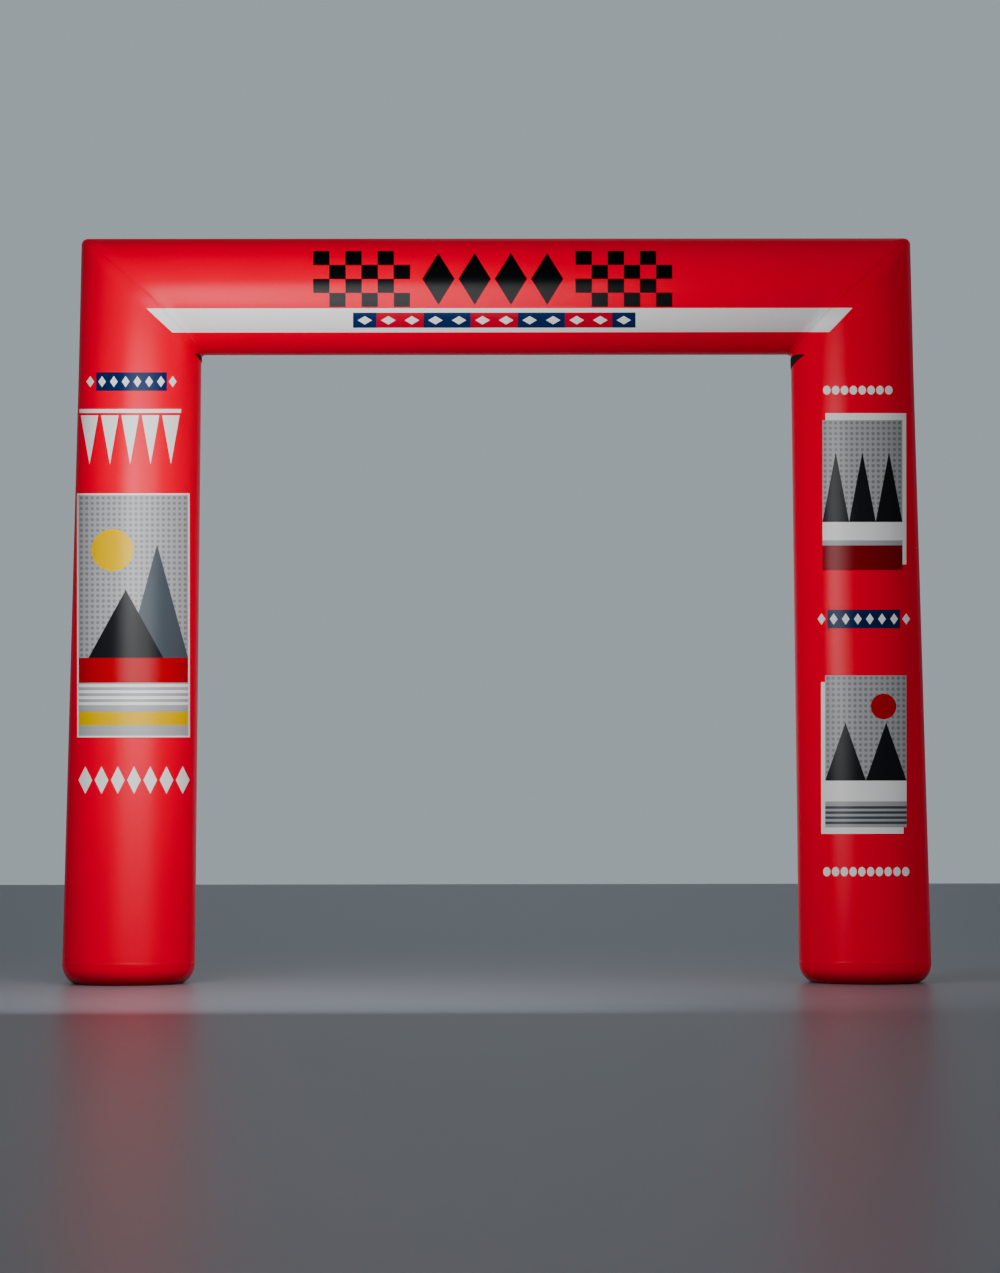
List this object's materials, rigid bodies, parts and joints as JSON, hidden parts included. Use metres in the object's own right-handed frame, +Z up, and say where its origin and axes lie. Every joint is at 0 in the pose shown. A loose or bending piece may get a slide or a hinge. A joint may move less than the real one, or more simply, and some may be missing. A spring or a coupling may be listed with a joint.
{
  "type": "inflatable arch",
  "caption": "Square inflatable arch of red coated cloth: round tapered legs and a round crossbar, mitred corners, rounded feet with flat soles.",
  "frame": {"origin": "on the floor, midway between the legs", "axes": "+X along the arch's width, +Y through the passage from front to back, +Z up"},
  "size_m": [5, 0.754, 4.401],
  "materials": {
    "printed_cloth": "red coated cloth with a satin sheen, printed with a white band and plain colour motifs",
    "foot_cloth": "red coated cloth, satin",
    "patch_cloth": "dark grey coated cloth, matt"
  },
  "bodies": {
    "root": {"leg_left": "printed_cloth", "leg_right": "printed_cloth", "crossbar": "printed_cloth", "foot_left": "foot_cloth", "foot_right": "foot_cloth", "patch_left": "patch_cloth", "patch_right": "patch_cloth"}
  },
  "joints": []
}
